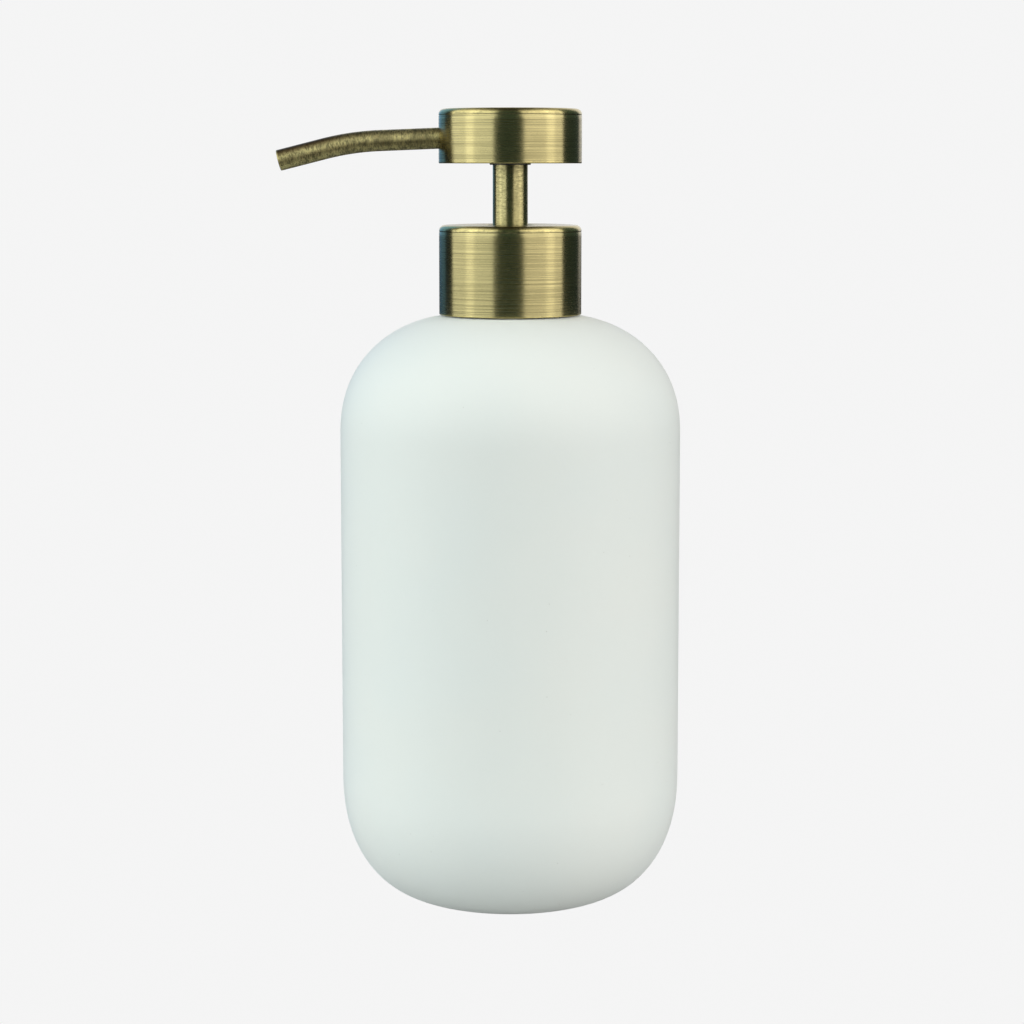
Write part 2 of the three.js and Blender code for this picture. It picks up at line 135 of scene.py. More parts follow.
def add(tree, kind, settings=None, inputs=None):
    node = tree.nodes.new(kind)
    for key, value in (settings or {}).items():
        setattr(node, key, value)
    for key, value in (inputs or {}).items():
        if isinstance(value, bpy.types.NodeSocket):
            tree.links.new(value, node.inputs[key])
        else:
            node.inputs[key].default_value = value
    return node


def calc(tree, operation, a, b=0.0):
    return add(tree, "ShaderNodeMath", dict(operation=operation), {0: a, 1: b}).outputs[0]


def rangeOf(tree, value, fromLow, fromHigh, toLow=0.0, toHigh=1.0, smooth=False):
    kind = "SMOOTHSTEP" if smooth else "LINEAR"
    inputs = {"Value": value, "From Min": fromLow, "From Max": fromHigh, "To Min": toLow, "To Max": toHigh}
    return add(tree, "ShaderNodeMapRange", dict(interpolation_type=kind), inputs).outputs["Result"]


def blendColour(tree, factor, first, second):
    # the colour mix node's factor, A and B are its sockets 0, 6 and 7
    node = add(tree, "ShaderNodeMix", dict(data_type="RGBA"))
    for index, value in ((0, factor), (6, first), (7, second)):
        if isinstance(value, bpy.types.NodeSocket):
            tree.links.new(value, node.inputs[index])
        else:
            node.inputs[index].default_value = value if index == 0 else (*value, 1)
    return node.outputs[2]


def objectPoint(tree):
    return add(tree, "ShaderNodeTexCoord").outputs["Object"]


def scaledPoint(tree, size):
    # object coordinates with size, in mm, as one unit
    perMetre = calc(tree, "DIVIDE", 1 / mm, size)
    settings = dict(operation="SCALE")
    return add(tree, "ShaderNodeVectorMath", settings, {0: objectPoint(tree), "Scale": perMetre}).outputs[0]


def noise(tree, point, place, detail=2.0, rough=0.5):
    settings = dict(noise_dimensions="4D")
    inputs = {"Vector": point, "W": place, "Scale": 1.0, "Detail": detail, "Roughness": rough}
    return add(tree, "ShaderNodeTexNoise", settings, inputs).outputs["Fac"]


def attribute(tree, name):
    return add(tree, "ShaderNodeAttribute", dict(attribute_name=name)).outputs["Fac"]


def makeGroup(name, inputs, output):
    group = bpy.data.node_groups.new(name, "ShaderNodeTree")
    for label, value in inputs.items():
        socket = group.interface.new_socket(label, in_out="INPUT", socket_type="NodeSocketFloat")
        socket.default_value = value
    group.interface.new_socket(output, in_out="OUTPUT", socket_type="NodeSocketFloat")
    given = group.nodes.new("NodeGroupInput").outputs
    made = group.nodes.new("NodeGroupOutput").inputs[0]
    return group, given, made


def place(tree, group, **values):
    node = tree.nodes.new("ShaderNodeGroup")
    node.node_tree = group
    for key, value in values.items():
        node.inputs[key].default_value = value
    return node.outputs[0]


def makeMaterial(name):
    material = bpy.data.materials.new(name)
    material.use_nodes = True
    tree = material.node_tree
    return material, tree, tree.nodes["Principled BSDF"]


def bumpFrom(tree, height, strength, distance):
    inputs = {"Height": height, "Strength": strength, "Distance": distance * mm}
    return add(tree, "ShaderNodeBump", None, inputs).outputs[0]


def makeWorld(s, o):
    world = bpy.data.worlds.new("studio")
    world.use_nodes = True
    bpy.context.scene.world = world
    tree = world.node_tree
    tree.nodes.clear()
    direction = add(tree, "ShaderNodeTexCoord").outputs["Generated"]
    split = add(tree, "ShaderNodeSeparateXYZ", None, {0: direction}).outputs
    left = calc(tree, "MULTIPLY", split[0], -1.0)
    front = calc(tree, "MULTIPLY", split[1], -1.0)
    azimuth = calc(tree, "ARCTAN2", left, front)
    share = rangeOf(tree, azimuth, -pi, pi)
    ramp = add(tree, "ShaderNodeValToRGB", None, {"Fac": share})
    elements = ramp.color_ramp.elements
    while len(elements) < len(roomStops):
        elements.new(0.5)
    for element, (angle, colour) in zip(elements, roomStops):
        element.position = (angle + 180) / 360
        element.color = (*colour, 1)
    above = rangeOf(tree, split[2], o["start"], o["full"], smooth=True)
    sideways = calc(tree, "ABSOLUTE", split[0])
    level = rangeOf(tree, sideways, o["aheadWidth"], o["besideWidth"], o["ahead"], o["beside"], smooth=True)
    room = blendColour(tree, above, ramp.outputs["Color"], level)
    unlit = add(tree, "ShaderNodeBackground", None, {"Color": room, "Strength": 1.0})
    seen = add(tree, "ShaderNodeBackground", None, {"Color": (*s["pale"], 1), "Strength": 1.0})
    isSeen = add(tree, "ShaderNodeLightPath").outputs["Is Camera Ray"]
    shader = add(tree, "ShaderNodeMixShader", None, {0: isSeen, 1: unlit.outputs[0], 2: seen.outputs[0]})
    add(tree, "ShaderNodeOutputWorld", None, {"Surface": shader.outputs[0]})


def makeFloor(s):
    half = s["groundHalf"]
    mesh = bpy.data.meshes.new("floor")
    corners = [(-half, -half, 0), (half, -half, 0), (half, half, 0), (-half, half, 0)]
    mesh.from_pydata(corners, [], [(0, 1, 2, 3)])
    plane = bpy.data.objects.new("floor", mesh)
    bpy.context.scene.collection.objects.link(plane)
    material = bpy.data.materials.new("floorPaper")
    material.use_nodes = True
    tree = material.node_tree
    tree.nodes.clear()
    distance = add(tree, "ShaderNodeVectorMath", dict(operation="LENGTH"), {0: objectPoint(tree)})
    near, far = s["paperReach"]
    beyond = rangeOf(tree, distance.outputs["Value"], near * mm, far * mm, smooth=True)
    tone = blendColour(tree, beyond, s["paper"], s["ground"])
    paper = add(tree, "ShaderNodeBsdfDiffuse", None, {"Color": tone})
    glow = add(tree, "ShaderNodeEmission", None, {"Color": (*s["pale"], 1), "Strength": 1.0})
    isSeen = add(tree, "ShaderNodeLightPath").outputs["Is Camera Ray"]
    shader = add(tree, "ShaderNodeMixShader", None, {0: isSeen, 1: paper.outputs[0], 2: glow.outputs[0]})
    add(tree, "ShaderNodeOutputMaterial", None, {"Surface": shader.outputs[0]})
    mesh.materials.append(material)


makeCamera(stage)
makeWorld(stage, overhead)
makeFloor(stage)
for name, values in softboxes.items():
    makeSoftbox(name, values)
bpy.context.scene.view_settings.view_transform = "Standard"
print("camera, floor and light are set")


# effects that several finishes share; every turned piece carries two values on its vertices:
# "along", in mm along its section, and "edge", the distance to the nearest rounded edge as a
# share of how far that edge's wear and painted highlight reach

def makeStrokes():
    # fine lines that run round the piece, broken up into strokes
    group, given, made = makeGroup("turnedStrokes", {"Length": 5.0, "Pitch": 0.12, "Seed": 0.0}, "Strokes")
    point = scaledPoint(group, given["Length"])
    lines = calc(group, "DIVIDE", attribute(group, "along"), given["Pitch"])
    value = noise(group, point, calc(group, "ADD", lines, given["Seed"]), detail=3.0, rough=0.6)
    group.links.new(value, made)
    return group


def makeBlotches():
    group, given, made = makeGroup("blotches", {"Size": 4.0, "Detail": 3.0, "Seed": 0.0}, "Value")
    value = add(group, "ShaderNodeTexNoise", dict(noise_dimensions="4D"), {
        "Vector": scaledPoint(group, given["Size"]), "W": given["Seed"], "Scale": 1.0,
        "Detail": given["Detail"], "Roughness": 0.6}).outputs["Fac"]
    group.links.new(value, made)
    return group


def makeEdgeWearAndHighlight():
    # lightens near rounded edges: wear on the plastics, and on the brushed brass partly wear and partly a
    # painted highlight
    group, given, made = makeGroup("edgeWearAndHighlight", {"Width": 1.0, "Grain": 0.8, "Seed": 0.0}, "Mask")
    ragged = noise(group, scaledPoint(group, given["Grain"]), given["Seed"], detail=3.0)
    reach = calc(group, "MULTIPLY", given["Width"], rangeOf(group, ragged, 0.3, 0.7, 0.55, 1.35))
    inner = calc(group, "MULTIPLY", reach, 0.5)
    mask = rangeOf(group, attribute(group, "edge"), reach, inner, smooth=True)
    group.links.new(mask, made)
    return group


def makeSpecks():
    group, given, made = makeGroup("fineSpecks", {"Spacing": 3.0, "Size": 0.08, "Share": 0.5}, "Mask")
    point = scaledPoint(group, given["Spacing"])
    cells = add(group, "ShaderNodeTexVoronoi", None, {"Vector": point, "Scale": 1.0})
    spread = add(group, "ShaderNodeSeparateColor", None, {0: cells.outputs["Color"]}).outputs
    size = calc(group, "MULTIPLY", given["Size"], rangeOf(group, spread[1], 0.0, 1.0, 0.4, 1.3))
    core = calc(group, "MULTIPLY", size, 0.5)
    dot = rangeOf(group, cells.outputs["Distance"], size, core, smooth=True)
    kept = calc(group, "LESS_THAN", spread[0], given["Share"])
    group.links.new(calc(group, "MULTIPLY", dot, kept), made)
    return group


strokes = makeStrokes()
blotches = makeBlotches()
edgeWearAndHighlight = makeEdgeWearAndHighlight()
specks = makeSpecks()


# the finishes

glazeLook = dict(
    colour=(0.905, 0.934, 0.893),
    cooler=(0.885, 0.927, 0.895),
    speck=(0.42, 0.41, 0.37),
    paleSpeck=(0.96, 0.98, 0.955),
    specular=0.32,
    sheen=0.45,
    sheenRough=0.35,
)


def makeMatteGlaze(s):
    material, tree, shader = makeMaterial("matteSpeckledGlaze")
    clouds = place(tree, blotches, Size=38.0, Detail=2.0, Seed=3.1)
    colour = blendColour(tree, rangeOf(tree, clouds, 0.35, 0.65), s["colour"], s["cooler"])
    fine = place(tree, blotches, Size=0.55, Detail=3.0, Seed=8.0)
    colour = blendColour(tree, rangeOf(tree, fine, 0.55, 0.8, 0.0, 0.22), colour, s["paleSpeck"])
    dark = place(tree, specks, Spacing=2.6, Size=0.055, Share=0.42)
    colour = blendColour(tree, calc(tree, "MULTIPLY", dark, 0.35), colour, s["speck"])
    pits = place(tree, specks, Spacing=1.1, Size=0.09, Share=0.35)
    tree.links.new(colour, shader.inputs["Base Color"])
    roughness = rangeOf(tree, fine, 0.3, 0.7, 0.54, 0.66)
    tree.links.new(roughness, shader.inputs["Roughness"])
    ripple = place(tree, blotches, Size=5.5, Detail=3.0, Seed=5.0)
    height = calc(tree, "ADD", calc(tree, "MULTIPLY", ripple, 2.2), calc(tree, "MULTIPLY", fine, 0.25))
    height = calc(tree, "SUBTRACT", height, calc(tree, "MULTIPLY", pits, 0.25))
    tree.links.new(bumpFrom(tree, height, 0.35, 0.06), shader.inputs["Normal"])
    shader.inputs["Specular IOR Level"].default_value = s["specular"]
    shader.inputs["Sheen Weight"].default_value = s["sheen"]
    shader.inputs["Sheen Roughness"].default_value = s["sheenRough"]
    return material


brassLook = dict(
    colour=(0.432, 0.368, 0.175),
    dark=(0.275, 0.234, 0.110),
    scored=(0.115, 0.094, 0.042),
    bright=(0.560, 0.470, 0.200),
    brushed=0.90,
    relief=0.11,
)
quarterTurn = 0.25   # lays the stretched highlights across the brush lines


def makeBrushedBrass(s):
    material, tree, shader = makeMaterial("brushedBrass")
    fine = place(tree, strokes, Length=26.0, Pitch=0.085, Seed=1.0)
    coarse = place(tree, strokes, Length=44.0, Pitch=0.22, Seed=40.0)
    long = place(tree, strokes, Length=80.0, Pitch=0.36, Seed=90.0)
    tone = place(tree, blotches, Size=7.0, Detail=4.0, Seed=2.0)
    lines = calc(tree, "ADD", calc(tree, "MULTIPLY", fine, 0.55), calc(tree, "MULTIPLY", coarse, 0.45))
    colour = blendColour(tree, rangeOf(tree, lines, 0.42, 0.55), s["dark"], s["colour"])
    colour = blendColour(tree, rangeOf(tree, tone, 0.55, 0.75, 0.0, 0.2), colour, s["dark"])
    colour = blendColour(tree, rangeOf(tree, long, 0.63, 0.72, 0.0, 0.8), colour, s["scored"])
    # the rounded edges are lightened, partly as wear and partly as a painted highlight of the light their
    # fillets catch
    wornAndLitEdge = place(tree, edgeWearAndHighlight, Width=1.0, Grain=0.9, Seed=6.0)
    colour = blendColour(tree, calc(tree, "MULTIPLY", wornAndLitEdge, 0.8), colour, s["bright"])
    tree.links.new(colour, shader.inputs["Base Color"])
    shader.inputs["Metallic"].default_value = 1.0
    roughness = calc(tree, "ADD", rangeOf(tree, lines, 0.35, 0.65, 0.29, 0.20),
                     rangeOf(tree, tone, 0.3, 0.7, 0.0, 0.05))
    tree.links.new(roughness, shader.inputs["Roughness"])
    shader.inputs["Anisotropic"].default_value = s["brushed"]
    shader.inputs["Anisotropic Rotation"].default_value = quarterTurn
    tangent = add(tree, "ShaderNodeTangent", dict(direction_type="RADIAL", axis="Z"))
    tree.links.new(tangent.outputs[0], shader.inputs["Tangent"])
    height = calc(tree, "SUBTRACT", lines, rangeOf(tree, long, 0.63, 0.72, 0.0, 0.6))
    tree.links.new(bumpFrom(tree, height, s["relief"], 0.02), shader.inputs["Normal"])
    return material


stemLook = dict(
    colour=(0.450, 0.390, 0.185),
    olive=(0.225, 0.200, 0.095),
    brown=(0.100, 0.068, 0.030),
    bright=(0.560, 0.480, 0.230),
)
spoutLook = dict(
    colour=(0.600, 0.520, 0.235),
    olive=(0.190, 0.165, 0.080),
    brown=(0.115, 0.068, 0.028),
    bright=(0.600, 0.510, 0.250),
)
stemFinish = dict(name="agedBrassStem", length=0.9, pitch=0.24, patina=0.65, spread=0.12, rough=0.26,
                  brushed=0.6, relief=0.07, dark=0.15, paintedTopShade=0.0,
                  tangent=dict(direction_type="RADIAL", axis="Z"))
# in the spout's finish the top-shade amount and its reach, in mm from the head's axis, paint shade on the
# tube's upper side
spoutFinish = dict(name="agedBrassSpout", length=0.9, pitch=0.30, patina=1.0, spread=0.06, rough=0.50,
                   brushed=0.75, relief=0.6, dark=0.6, paintedTopShade=0.9, paintedTopShadeReach=(28, 46),
                   tangent=dict(direction_type="UV_MAP", uv_map="wrap"))


def makeAgedBrass(s, f):
    material, tree, shader = makeMaterial(f["name"])
    fine = place(tree, strokes, Length=f["length"], Pitch=f["pitch"], Seed=12.0)
    coarse = place(tree, strokes, Length=f["length"] * 1.8, Pitch=f["pitch"] * 2.6, Seed=52.0)
    patina = place(tree, blotches, Size=f["patina"], Detail=5.0, Seed=4.0)
    grime = place(tree, blotches, Size=4.2, Detail=4.0, Seed=17.0)
    lines = calc(tree, "ADD", calc(tree, "MULTIPLY", fine, 0.7), calc(tree, "MULTIPLY", coarse, 0.3))
    mix = calc(tree, "ADD", calc(tree, "MULTIPLY", lines, 0.72), calc(tree, "MULTIPLY", patina, 0.28))
    middle, spread = 0.505, f["spread"]
    share = rangeOf(tree, mix, middle - spread, middle + spread)
    colour = blendColour(tree, share, s["olive"], s["colour"])
    colour = blendColour(tree, rangeOf(tree, grime, 0.50, 0.66, 0.0, f["dark"]), colour, s["olive"])
    speckle = calc(tree, "ADD", fine, calc(tree, "MULTIPLY", patina, 0.5))
    colour = blendColour(tree, rangeOf(tree, speckle, 0.83, 0.95, 0.0, f["dark"]), colour, s["brown"])
    if f["paintedTopShade"]:
        # painted shade: the upward-facing side of the tube is darkened towards the tip
        facing = add(tree, "ShaderNodeNewGeometry").outputs["Normal"]
        upwards = add(tree, "ShaderNodeSeparateXYZ", None, {0: facing}).outputs[2]
        outwards = add(tree, "ShaderNodeSeparateXYZ", None, {0: objectPoint(tree)}).outputs[0]
        near, far = f["paintedTopShadeReach"]
        towardsTip = rangeOf(tree, outwards, -near * mm, -far * mm, 0.0, f["paintedTopShade"], smooth=True)
        upper = rangeOf(tree, upwards, 0.15, 0.85, smooth=True)
        colour = blendColour(tree, calc(tree, "MULTIPLY", towardsTip, upper), colour, s["brown"])
    wornAndLitEdge = place(tree, edgeWearAndHighlight, Width=1.0, Grain=0.7, Seed=9.0)
    colour = blendColour(tree, calc(tree, "MULTIPLY", wornAndLitEdge, 0.6), colour, s["bright"])
    tree.links.new(colour, shader.inputs["Base Color"])
    shader.inputs["Metallic"].default_value = 1.0
    rough = rangeOf(tree, mix, 0.35, 0.65, f["rough"] + 0.07, f["rough"] - 0.06)
    roughness = calc(tree, "ADD", rough, rangeOf(tree, grime, 0.4, 0.7, 0.0, 0.08))
    tree.links.new(roughness, shader.inputs["Roughness"])
    shader.inputs["Anisotropic"].default_value = f["brushed"]
    shader.inputs["Anisotropic Rotation"].default_value = quarterTurn
    tangent = add(tree, "ShaderNodeTangent", f["tangent"])
    tree.links.new(tangent.outputs[0], shader.inputs["Tangent"])
    tree.links.new(bumpFrom(tree, mix, f["relief"], 0.04), shader.inputs["Normal"])
    return material


steelLook = dict(dull=(0.34, 0.35, 0.37), bright=(0.58, 0.59, 0.60))


def makeSpringSteel(s):
    material, tree, shader = makeMaterial("drawnSpringSteel")
    drawn = place(tree, strokes, Length=6.0, Pitch=0.3, Seed=5.0)
    tone = place(tree, blotches, Size=2.2, Detail=4.0, Seed=21.0)
    mix = calc(tree, "ADD", calc(tree, "MULTIPLY", drawn, 0.4), calc(tree, "MULTIPLY", tone, 0.6))
    colour = blendColour(tree, rangeOf(tree, mix, 0.35, 0.65), s["dull"], s["bright"])
    tree.links.new(colour, shader.inputs["Base Color"])
    shader.inputs["Metallic"].default_value = 1.0
    tree.links.new(rangeOf(tree, mix, 0.3, 0.7, 0.34, 0.20), shader.inputs["Roughness"])
    tree.links.new(bumpFrom(tree, mix, 0.2, 0.01), shader.inputs["Normal"])
    return material


whiteLook = dict(name="whitePlastic", colour=(0.80, 0.81, 0.79), second=(0.74, 0.75, 0.73),
                 rough=0.42, seed=1.0, grain=0.35, milky=0.0)
milkyLook = dict(name="milkyPlastic", colour=(0.78, 0.81, 0.80), second=(0.70, 0.74, 0.73),
                 rough=0.30, seed=2.0, grain=0.35, milky=0.25)
blackLook = dict(name="blackPlastic", colour=(0.022, 0.023, 0.025), second=(0.015, 0.015, 0.017),
                 rough=0.40, seed=3.0, grain=0.35, milky=0.0)
rubberLook = dict(name="sealRubber", colour=(0.035, 0.037, 0.038), second=(0.050, 0.052, 0.052),
                  rough=0.68, seed=4.0, grain=0.2, milky=0.0)


def makeMoulded(s):
    material, tree, shader = makeMaterial(s["name"])
    seed, rough, colour = s["seed"], s["rough"], s["colour"]
    flow = place(tree, blotches, Size=9.0, Detail=2.0, Seed=seed)
    skin = place(tree, blotches, Size=s["grain"], Detail=3.0, Seed=seed + 4)
    scuffs = place(tree, strokes, Length=3.0, Pitch=0.45, Seed=seed + 9)
    wornAndLitEdge = place(tree, edgeWearAndHighlight, Width=0.8, Grain=0.6, Seed=seed)
    tint = blendColour(tree, rangeOf(tree, flow, 0.35, 0.65), colour, s["second"])
    lighter = tuple(min(1.0, c * 1.25 + 0.02) for c in colour)
    tint = blendColour(tree, calc(tree, "MULTIPLY", wornAndLitEdge, 0.5), tint, lighter)
    tint = blendColour(tree, rangeOf(tree, scuffs, 0.62, 0.75, 0.0, 0.25), tint, lighter)
    tree.links.new(tint, shader.inputs["Base Color"])
    base = rangeOf(tree, skin, 0.3, 0.7, rough - 0.05, rough + 0.07)
    roughness = calc(tree, "ADD", base, rangeOf(tree, scuffs, 0.6, 0.75, 0.0, 0.1))
    tree.links.new(roughness, shader.inputs["Roughness"])
    height = calc(tree, "SUBTRACT", skin, rangeOf(tree, scuffs, 0.62, 0.75, 0.0, 0.4))
    tree.links.new(bumpFrom(tree, height, 0.25, 0.015), shader.inputs["Normal"])
    if s["milky"]:
        shader.inputs["Transmission Weight"].default_value = s["milky"]
        shader.inputs["IOR"].default_value = 1.5
    return material


finishes = dict(
    bottle_ceramic=makeMatteGlaze(glazeLook),
    brushed_brass=makeBrushedBrass(brassLook),
    aged_brass=makeAgedBrass(stemLook, stemFinish),
    spout_brass=makeAgedBrass(spoutLook, spoutFinish),
    spring_steel=makeSpringSteel(steelLook),
    white_plastic=makeMoulded(whiteLook),
    natural_plastic=makeMoulded(milkyLook),
    black_plastic=makeMoulded(blackLook),
    seal_rubber=makeMoulded(rubberLook),
)
print("finishes are made:", ", ".join(finishes))


# mesh helpers; sections are in mm as (radius, height) and keep the material on their left

onAxis = 1e-6         # a smaller radius counts as the axis
farFromEdge = 10.0    # the "edge" value where no rounded edge is near
creaseAngle = 38      # degrees


def filleted(corners, steps=5, hold=0.12):
    # corners are (radius, height, fillet); returns the section, and for each fillet the middle
    # of its arc and how far from there its wear and painted highlight reach; hold is where an extra point
    # keeps a side flat
    section, edges = [], []
    count = len(corners)
    for i, (r, z, size) in enumerate(corners):
        here = Vector((r, z))
        back = Vector(corners[i - 1][:2]) - here
        ahead = Vector(corners[(i + 1) % count][:2]) - here
        if size == 0:
            section.append(here)
            continue
        backWay, aheadWay = back.normalized(), ahead.normalized()
        half = backWay.angle(aheadWay) / 2
        reach = size / tan(half)
        centre = here + (backWay + aheadWay).normalized() * (size / sin(half))
        start, end = here + backWay * reach, here + aheadWay * reach
        first = atan2(start.y - centre.y, start.x - centre.x)
        turn = (atan2(end.y - centre.y, end.x - centre.x) - first + pi) % (2 * pi) - pi
        if back.length > reach + 4 * hold:
            section.append(start + backWay * hold)
        for k in range(steps + 1):
            angle = first + turn * k / steps
            section.append(centre + Vector((cos(angle), sin(angle))) * size)
        if ahead.length > reach + 4 * hold:
            section.append(end + aheadWay * hold)
        edgeReach = 0.28 + 0.62 * size
        edges.append((centre + (here - centre).normalized() * size, edgeReach))
    return section, edges


def divided(section, longest):
    # adds points so that no side is longer than longest(point)
    points = []
    for here, after in zip(section, section[1:] + section[:1]):
        points.append(here)
        if here.x < onAxis and after.x < onAxis:
            continue
        length = (after - here).length
        parts = max(1, ceil(length / longest(here.lerp(after, 0.5))))
        points += [here.lerp(after, k / parts) for k in range(1, parts)]
    return points


def superEnd(r, z, out, up, power, steps):
    # a quarter of a superellipse about (r, z), from its steep end to its flat end
    share = 2 / power
    points = []
    for i in range(steps + 1):
        angle = i / steps * pi / 2
        outwards = abs(cos(angle)) ** share if i < steps else 0
        points.append(Vector((r + out * outwards, z + up * sin(angle) ** share)))
    return points


def paint(mesh, section, edges):
    # writes "along" and "edge" on every vertex, from its place on the section
    count = len(mesh.vertices)
    flat = np.empty(count * 3)
    mesh.vertices.foreach_get("co", flat)
    flat = flat.reshape(-1, 3)
    spot = np.stack([np.hypot(flat[:, 0], flat[:, 1]), flat[:, 2]], 1)
    nearest = np.full(count, np.inf)
    along = np.zeros(count)
    run = 0.0
    for here, after in zip(section, section[1:] + section[:1]):
        a, way = np.array(here), np.array(after - here)
        length = max(float(np.hypot(*way)), 1e-9)
        share = np.clip((spot - a) @ way / length ** 2, 0, 1)
        gap = np.hypot(*(spot - a - share[:, None] * way).T)
        closer = gap < nearest
        nearest[closer] = gap[closer]
        along[closer] = run + share[closer] * length
        run += length
    edge = np.full(count, farFromEdge)
    for middle, reach in edges:
        edge = np.minimum(edge, np.hypot(spot[:, 0] - middle.x, spot[:, 1] - middle.y) / reach)
    for name, values in (("along", along), ("edge", edge)):
        mesh.attributes.new(name, "FLOAT", "POINT").data.foreach_set("value", values.astype(np.float32))


def turnedMesh(name, section, segments):
    # revolves a section about Z; the mesh is still in mm
    verts, rings, faces = [], [], []
    for r, z in section:
        if r < onAxis:
            rings.append([len(verts)] * segments)
            verts.append((0, 0, z))
        else:
            rings.append(range(len(verts), len(verts) + segments))
            angles = (2 * pi * k / segments for k in range(segments))
            verts += [(r * cos(a), r * sin(a), z) for a in angles]
    for ring, following in zip(rings, rings[1:] + rings[:1]):
        for i in range(segments):
            j = (i + 1) % segments
            corners = list(dict.fromkeys((ring[i], ring[j], following[j], following[i])))
            if len(corners) > 2:
                faces.append(corners)
    mesh = bpy.data.meshes.new(name)
    mesh.from_pydata(verts, [], faces)
    return mesh


def reshape(mesh, moved):
    for vertex in mesh.vertices:
        vertex.co = moved(vertex.co)


def makePiece(mesh, name, body, node, finish):
    # mesh arrives in mm; the piece stands for the CAD node and rides on its body
    mesh.transform(Matrix.Scale(mm, 4))
    mesh.shade_smooth()
    mesh.set_sharp_from_angle(angle=radians(creaseAngle))
    piece = bpy.data.objects.new(name, mesh)
    bpy.context.scene.collection.objects.link(piece)
    mesh.materials.append(finishes[finish])
    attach(piece, body)
    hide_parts(node)
    return piece


def makeTurned(name, body, node, finish, corners, segments=128, longest=1.5, steps=5, moved=None):
    section, edges = filleted(corners, steps)
    section = divided(section, longest if callable(longest) else lambda middle: longest)
    mesh = turnedMesh(name, section, segments)
    paint(mesh, section, edges)
    if moved:
        reshape(mesh, moved)
    return makePiece(mesh, name, body, node, finish)


# the bottle

bottle = dict(
    radius=40, crown=138.6, footRadius=18.2, footRise=28.9, crownRadius=9.5, crownDrop=28,
    roundness=2.2, wall=4.2, floor=5, neckRadius=11, neckBore=9.4, neckTop=150, neckBlend=1.6,
    grooveRadius=15.6, grooveWidth=0.9, grooveDepth=0.35, longest=3.0, segments=192,
)


def makeBottle(s):
    inside = s["radius"] - s["wall"]
    ceiling, ceilingDrop = s["crown"] - s["wall"] - 0.5, s["crownDrop"] - s["wall"]
    innerFoot = s["footRadius"] - 2
    lower = superEnd(s["footRadius"], s["footRise"], s["radius"] - s["footRadius"], -s["footRise"],
                     s["roundness"], 48)[::-1]
    upper = superEnd(s["crownRadius"], s["crown"] - s["crownDrop"], s["radius"] - s["crownRadius"],
                     s["crownDrop"], s["roundness"], 56)
    innerUpper = superEnd(s["neckBore"], ceiling - ceilingDrop, inside - s["neckBore"], ceilingDrop,
                          s["roundness"], 32)[::-1]
    innerLower = superEnd(innerFoot, s["footRise"], inside - innerFoot, s["floor"] - s["footRise"],
                          s["roundness"], 32)
    g, half = s["grooveRadius"], s["grooveWidth"] / 2
    groove, _ = filleted([
        (0, 0, 0), (g - half, 0, 0.15), (g - half * 0.6, s["grooveDepth"], 0.12),
        (g + half * 0.6, s["grooveDepth"], 0.12), (g + half, 0, 0.15), (s["footRadius"], 0, 0)], 3)
    blend = s["neckRadius"] + s["neckBlend"]
    upper = [p for p in upper if p.x > blend]
    neck, edges = filleted([
        (blend, s["crown"], 0), (s["neckRadius"], s["crown"], 0.9),
        (s["neckRadius"], s["neckTop"], 0.5), (s["neckBore"], s["neckTop"], 0.5),
        (s["neckBore"], ceiling, 0)], 4)
    section = groove[:-1] + lower + upper + neck[:-1] + innerUpper + innerLower
    section.append(Vector((0, s["floor"])))
    section = divided(section, lambda middle: s["longest"])
    mesh = turnedMesh("bottleBody", section, s["segments"])
    paint(mesh, section, edges)
    return makePiece(mesh, "bottleBody", "bottle", "bottle_body", "bottle_ceramic")


makeBottle(bottle)


# the screw thread, as a ridge that swells out of a turned wall

# root and crest are radii; foot and top are the ridge's widths there
thread = dict(pitch=4.2, turns=1.25, start=142.5, root=12.5, crest=13.6, foot=2.4, top=1.2)
capThread = dict(pitch=4.2, turns=1.25, start=140.8, root=14.0, crest=12.9, foot=2.2, top=1.0)
runOut = 0.05        # turns over which a ridge fades at each end
onWall = 0.02        # mm within which a point counts as lying on the wall


def threadSwell(s, point):
    # how far the wall is pushed out, or in, at a point on it
    turn = (atan2(point.y, point.x) / (2 * pi)) % 1
    best = 0.0
    for lap in (0, 1):
        t = turn + lap
        if t > s["turns"]:
            continue
        off = abs(point.z - s["start"] - s["pitch"] * t)
        flank = (s["foot"] / 2 - off) / ((s["foot"] - s["top"]) / 2)
        ends = min(1, t / runOut, (s["turns"] - t) / runOut)
        best = max(best, min(1, max(0, flank)) * max(0, ends))
    smooth = best * best * (3 - 2 * best)
    return (s["crest"] - s["root"]) * smooth


def threaded(s):
    def moved(point):
        r = (point.x ** 2 + point.y ** 2) ** 0.5
        if abs(r - s["root"]) > onWall:
            return point
        share = (r + threadSwell(s, point)) / r
        return Vector((point.x * share, point.y * share, point.z))
    return moved


def fineAt(radius):
    return lambda middle: 0.15 if abs(middle.x - radius) < onWall else 1.5


neckSleeve = dict(bore=11.2, bottom=139.0, top=151.2, lip=9.4, lipUnder=150.1)


def makeNeckSleeve(s):
    return makeTurned("neckSleeve", "bottle", "neck_sleeve", "white_plastic", [
        (s["bore"], s["bottom"], 0.15), (thread["root"], s["bottom"], 0.3),
        (thread["root"], s["top"], 0.35), (s["lip"], s["top"], 0.3),
        (s["lip"], s["lipUnder"], 0.15), (s["bore"], s["lipUnder"], 0.1)],
        segments=160, longest=fineAt(thread["root"]), moved=threaded(thread))


makeNeckSleeve(neckSleeve)

neckGasket = dict(bore=8.4, radius=12.4, bottom=151.3, top=152.3, round=0.2)


